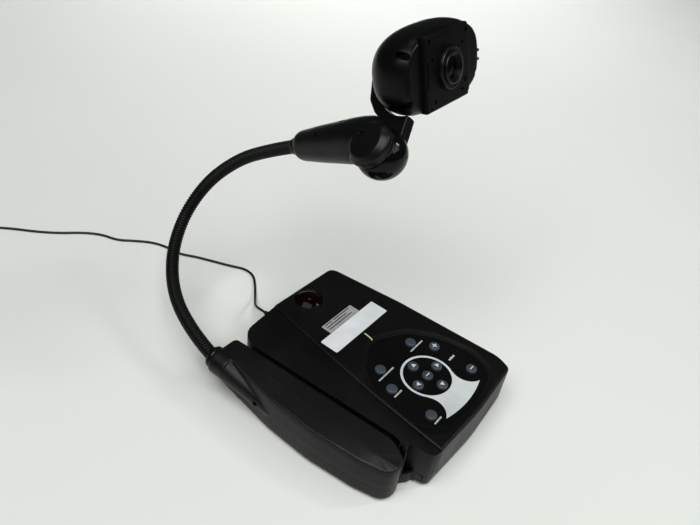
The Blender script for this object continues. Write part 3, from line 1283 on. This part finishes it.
# hub: near-full ball with a rounded flat
prof = [(0, -21.3)]
for k in range(1, 33):
    a = -math.pi / 2 + (math.asin(9.3 / 21.3) + math.pi / 2) * k / 32.0
    prof.append((21.3 * math.cos(a), 21.3 * math.sin(a)))
prof += [(18.9, 9.62), (18.5, 9.75), (4.0, 9.78), (4.0, 20.0), (0, 20.0)]
hub = lathe("tilt_ball", prof, HUB, NN, 128, M_GLOSS, 50.0)
put(hub, "tilt", "tilt_hub")
SD = np.array([0.71, 0.517, 0.478]); SD = un(SD - NN * (SD @ NN))
QD = np.cross(NN, SD)
MD = un((0, -0.9613, 0.2756))
if QD @ MD < 0:
    QD = -QD
hd = un(NN * -0.30 + QD * 0.85 - SD * 0.25)
put(screw("ball_screw", HUB + hd * 21.25, hd, 2.3, M_SCREW), "tilt", "hub_screw")
brk = remesh(cadcopy("bracket", "head_bracket", False), 0.55, 7, 0.5, M_SATIN, None)
put(brk, "tilt", "bracket")

# ------------------------------------------------------------------ camera head
UPv = un((0, 0.2756, 0.9613))
HC = np.array([79.5 * U, 87.5 * U, 290 * U])
HX = np.array([1.0, 0, 0])
RH = np.column_stack([HX, -MD, UPv])


def hp(x, y, z):
    return HC + HX * x - MD * y + UPv * z


def head_surface():
    """flat-fronted pebble: rounded rectangular rim, fullest a third of the way back, domed rear"""
    nu = 160
    V, F = [], []

    def add(x, y, z):
        V.append(hp(x, y, max(z, -31.05)))

    def ring(y, cx, sx, zt, zb, pt, pb):
        row = []
        for i in range(nu):
            a = 2 * math.pi * i / nu
            c_, s_ = math.cos(a), math.sin(a)
            p_, sz = (pt, zt) if s_ > 0 else (pb, zb)
            r = (abs(c_ / sx) ** p_ + abs(s_ / sz) ** p_) ** (-1 / p_)
            row.append(len(V))
            add(cx + r * c_, y, r * s_)
        return row
    add(1.8, 2.35, 0)
    rows = []
    for f in (0.12, 0.3, 0.5, 0.7, 0.88, 1.0):
        rows.append(ring(2.35 + 0.1 * f, 1.8, 53.0 * f, 28.3 * f, 27.6 * f, 2.85, 3.4))
    ks = [(2.9, 54.4, 29.6, 28.9), (3.8, 55.4, 30.6, 29.9), (5.2, 56.3, 31.5, 30.9), (8.0, 57.7, 32.9, 32.6), (11.0, 58.8, 34.0, 34.2), (14.5, 59.6, 34.8, 35.6), (18.0, 60.0, 35.1, 36.4)]
    for y, sx, zt, zb in ks:
        t = min(1.0, (y - 2.4) / 15.6)
        rows.append(ring(y, 1.8 + 0.2 * t, sx, zt, zb, 2.85 - 0.35 * t, 3.4 - 0.9 * t))
    nv = 40
    for j in range(1, nv):
        rho = math.cos(j / nv * math.pi / 2)
        dep = (1 - rho ** 2.25) ** (1 / 2.1)
        rows.append(ring(min(18.0 + 36.1 * dep, 53.3), 2.0, 60.0 * rho, 35.1 * rho, 36.4 * rho, 2.5, 2.5))
    last = len(V); add(2.0, 53.3, 0)
    for i in range(nu):
        F.append((0, rows[0][i], rows[0][(i + 1) % nu]))
        F.append((last, rows[-1][(i + 1) % nu], rows[-1][i]))
    for j in range(len(rows) - 1):
        for i in range(nu):
            i2 = (i + 1) % nu
            F.append((rows[j][i], rows[j + 1][i], rows[j + 1][i2], rows[j][i2]))
    return raw("head_raw", V, F, None, None)


hd0 = remesh(head_surface(), 0.75, 14, 0.5, None, None)
hc = []
# recessed screw wells on the wings
for (x, z) in [(-49.8, 19.3), (-50.6, -17.6), (53.6, 19.3), (54.2, -17.6)]:
    hc.append(lathe("c", [(0, -3.0), (3.1, -3.0), (3.1, 13.5), (0, 13.5)], hp(x, 0, z), -MD, 40))
# shallow seat for the face plate, switch slot, rear bore
hc.append(bevelled(boxo("c", hp(0, 2.2, 0), (68.24, 7.0, 60.24), RH), 0.9, 2))
hc.append(boxo("c", hp(60.0, 18.0, 8.0), (10.0, 7.4, 15.0), RH))
hc.append(lathe("c", [(0, -8), (17.9, -8), (17.9, 16.5), (0, 16.5)], hp(0, 0, 0), -MD, 72))
hsh = boolean(hd0, hc, mat=M_HEAD, angle=50.0)
put(hsh, "head", "head_shell")
# seam ring around the head, a fine dark line just behind the front half
# face plate with real holes and notches
fp = boxo("face_panel", hp(0, 1.90, 0), (68.0, 7.2, 60.0), RH)
fp = bevelled(fp, 2.1, 6, 30.0)
fc = [lathe("c", [(0, -8), (17.75, -8), (17.75, 12), (0, 12)], hp(0, 0, 0), -MD, 96)]
for x, z, r in [(-28, 24.5, 2.0), (28, 24.5, 2.0), (-22, -22.5, 2.0), (26, -15.5, 2.0), (-24, 11, 1.5), (-27.5, -26.5, 1.3), (22.5, 15.5, 1.5), (21.5, -22.5, 1.5)]:
    fc.append(lathe("c", [(0, -6), (r, -6), (r, 0.9), (0, 0.9)], hp(x, 0, z), -MD, 28))
for x, z in [(33.2, 28.8), (33.2, -28.6)]:
    fc.append(bevelled(boxo("c", hp(x, 0, z), (5.0, 14.0, 5.4), RH), 0.6, 2))
fc.append(bevelled(boxo("c", hp(-31.0, -1.6, -0.5), (1.2, 2.2, 22.0), RH), 0.3, 2))
fp = boolean(fp, fc, mat=M_FACE, angle=34.0)
put(fp, "head", "face_plate")
so = [screw("s", hp(x, -0.5, z), MD, 1.55, M_SCREW, True, 0.8) for x, z in [(-28, 24.5), (28, 24.5), (-22, -22.5), (26, -15.5)]]
fs = joined("plate_screws", so); fs.data.materials.clear(); fs.data.materials.append(M_SCREW); finish_mesh(fs.data, 40.0)
put(fs, "head", "face_screws")
# focus ring: knurled band between two lips
prof = [(13.3, 3.9), (17.3, 3.9), (17.35, -1.0), (17.2, -1.5), (16.6, -1.7), (16.6, -2.1), (17.1, -2.3), (17.2, -5.3), (16.8, -5.9), (15.6, -6.0), (15.1, -5.5), (13.3, -5.4)]
ring = lathe("focus_dial", [(r, h) for r, h in prof], hp(0, 0, 0), -MD, 144, M_SATIN, 40.0)
kn = []
V, F = [], []
for i in range(48):
    a = 2 * math.pi * i / 48
    w = 0.42
    b = len(V)
    for rr, dy in ((17.0, -2.6), (17.38, -2.6), (17.38, -5.0), (17.0, -5.0)):
        for s_ in (-1, 1):
            aa = a + s_ * w / 17.2
            V.append(hp(rr * math.cos(aa), dy, rr * math.sin(aa)))
    q = [b, b + 2, b + 4, b + 6]
    F += [(q[0], q[1], q[2], q[3]), (q[3] + 1, q[2] + 1, q[1] + 1, q[0] + 1)]
    for j in range(4):
        k = (j + 1) % 4
        F.append((q[j], q[j] + 1, q[k] + 1, q[k]))
knurl = raw("focus_ribs", V, F, M_SATIN, 40.0)
put(ring, "focus", "focus_ring")
put(knurl, "focus")
prof = [(0, 12.0), (13.1, 12.0), (13.15, -6.6), (12.7, -7.3), (11.8, -7.55), (11.4, -7.2), (11.2, -6.4), (10.6, -6.3), (10.4, -5.6), (9.7, -5.5), (9.5, -4.7), (8.9, -4.6), (8.6, -3.2), (8.55, 1.5), (6.2, 2.2),
        (6.0, 4.5), (3.0, 5.5), (2.9, 8.0), (0, 8.0)]
brl = lathe("lens_tube", prof, hp(0, 0, 0), -MD, 128, M_SATIN, 28.0)
put(brl, "head", "lens_barrel")
lens = [(0, -4.2)]
prof = []
for k in range(0, 15):
    r = 8.5 * k / 14.0
    prof.append((r, -4.35 + 0.0105 * r * r * 1.6))
prof += [(8.5, -1.2), (0, -1.2)]
gl = lathe("lens_front", prof, hp(0, 0, 0), -MD, 96, M_LENS, 40.0)
put(gl, "head", "front_lens")
# side switch: slider with two raised ribs
sw = joined("switch_slider", [bevelled(boxo("b", hp(55.0, 18.0, 8.0), (8.4, 5.6, 8.6), RH), 0.5, 3)] +
            [bevelled(boxo("b", hp(60.7, 18.0, z), (3.4, 3.2, 1.8), RH), 0.45, 3) for z in (4.8, 11.2)])
sw.data.materials.clear(); sw.data.materials.append(M_SATIN); finish_mesh(sw.data, 35.0)
put(sw, "switch", "side_switch")
# two small posts on the head's right edge
po = [lathe("p", [(0, -5.0), (1.15, -5.0), (1.15, 2.4), (1.35, 2.7), (1.35, 3.5), (1.0, 3.95), (0, 4.0)], hp(56.5, 4.6, z), (1, 0, 0), 28) for z in (0.9, -6.6)]
pins = joined("head_posts", po); pins.data.materials.clear(); pins.data.materials.append(M_SATIN); finish_mesh(pins.data, 40.0)
put(pins, "head")

# ------------------------------------------------------------------ plug and adapter
py0 = 160.0
prof = [(0, -8.0), (2.65, -8.0), (2.7, -0.2), (4.3, 0.0), (4.55, 0.5), (4.55, 7.4), (4.2, 8.2), (3.2, 8.6)]
for k in range(5):
    h0 = 8.8 + k * 1.15
    r0 = 2.75 - 0.19 * k
    prof += [(r0, h0), (r0, h0 + 0.62), (r0 - 0.42, h0 + 0.72), (r0 - 0.42, h0 + 1.05)]
prof += [(1.75, 14.7), (0, 14.75)]
plug = lathe("dc_lead_plug", prof, (dcx, py0, 22.0), (0, 1, 0), 48, M_CORD, 40.0)
put(plug, "base", "dc_plug")
AX, AY = CX - 2.0, CY + 62.0
bl = []
for i in range(2):
    b_ = bevelled(boxo("b", (AX - 6.35 + 12.7 * i, AY + 34 + 8.45, 15.0), (1.62, 16.0, 6.52)), 0.3, 2, 30.0, None)
    bl.append(b_)
bld = joined("adapter_blades", bl); bld.data.materials.clear(); bld.data.materials.append(M_BRASS); finish_mesh(bld.data, 35.0)
put(bld, "base")

# ------------------------------------------------------------------ CAD nodes kept, with their finishes
keep = {"power_adapter": M_SOCK, "port_block": M_NICKEL, "dc_jack": M_SOCK, "hinge_bracket": M_STEEL, "ballast_plate": M_STEEL, "main_board": M_BOARD,
        "key_board": M_BOARD, "button_pad": M_SILIC, "sensor_board": M_BOARD, "base_screws": M_SCREW}
for n_, m_ in keep.items():
    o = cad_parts[n_]
    o.data.materials.clear()
    o.data.materials.append(m_)

# ------------------------------------------------------------------ room and light
def floor_mat():
    m, nt, b, tc = nt_new("floor_pale")
    big = noise(nt, tc, 1.3, 3.0, 0.5)
    fine = noise(nt, tc, 260.0, 4.0, 0.6)
    c = ramp(nt, big, 0.3, 0.7, (0.765, 0.785, 0.765), (0.80, 0.82, 0.795))
    nt.links.new(c, b.inputs["Base Color"])
    nt.links.new(maprange(nt, fine, 0.3, 0.7, 0.38, 0.5), b.inputs["Roughness"])
    b.inputs["Specular IOR Level"].default_value = 0.12
    bump(nt, b, fine, 0.0001, 0.3)
    return m


FM = floor_mat()
# wide flat pale floor
g = Vector((fwd.x, fwd.y, 0)).normalized()
sd = Vector((g.y, -g.x, 0))
prof = [(-4.0, 0.0)]
for x in np.linspace(-3.5, 0.9, 12):
    prof.append((x, 0.0))
for x in np.linspace(1.2, 4.5, 10):
    prof.append((x, 0.0))
me = bpy.data.meshes.new("backdrop")
V, F = [], []
o0 = Vector((cam.location.x, cam.location.y, 0))
for x, z in prof:
    for s_ in (-5.0, 5.0):
        p = o0 + g * x + sd * s_
        V.append((p.x, p.y, z))
for i in range(len(prof) - 1):
    F.append((2 * i, 2 * i + 1, 2 * i + 3, 2 * i + 2))
me.from_pydata(V, [], F)
for p_ in me.polygons:
    p_.use_smooth = True
me.materials.append(FM)
bd = bpy.data.objects.new("backdrop", me)
col.objects.link(bd)

w = bpy.data.worlds.new("w") if scene.world is None else scene.world
scene.world = w
w.use_nodes = True
bg = w.node_tree.nodes.get("Background") or w.node_tree.nodes.new("ShaderNodeBackground")
bg.inputs["Color"].default_value = (0.93, 0.97, 0.94, 1)
bg.inputs["Strength"].default_value = 0.07


def area(name, loc, target, sx, sy, power, colr=(1, 1, 1)):
    l = bpy.data.lights.new(name, "AREA")
    l.shape = "RECTANGLE"; l.size = sx; l.size_y = sy; l.energy = power; l.color = colr
    o = bpy.data.objects.new(name, l)
    o.location = loc
    o.rotation_mode = "QUATERNION"
    o.rotation_quaternion = (Vector(target) - Vector(loc)).to_track_quat("-Z", "Y")
    col.objects.link(o)
    return o


area("key_soft", (-0.95, -0.30, 2.3), (0.15, 0.15, 0.0), 2.4, 1.8, 58.0, (1.0, 1.0, 0.98))
area("fill_soft", (0.5, -1.9, 1.7), (0.15, 0.15, 0.1), 1.6, 1.0, 13.0, (0.98, 1.0, 1.0))
area("window_small", (0.95, -0.95, 1.25), (0.0, -0.03, 0.2), 0.16, 0.34, 4.0, (1.0, 1.0, 1.0))

far = area("far_soft", (1.55, 1.15, 2.3), (1.5, 1.15, 0.0), 1.9, 1.9, 13.5, (1.0, 1.0, 0.99))
far.data.spread = math.radians(56.0)

scene.view_settings.view_transform = "Standard"
scene.view_settings.look = "None"
scene.view_settings.exposure = 0.0
scene.view_settings.gamma = 0.9
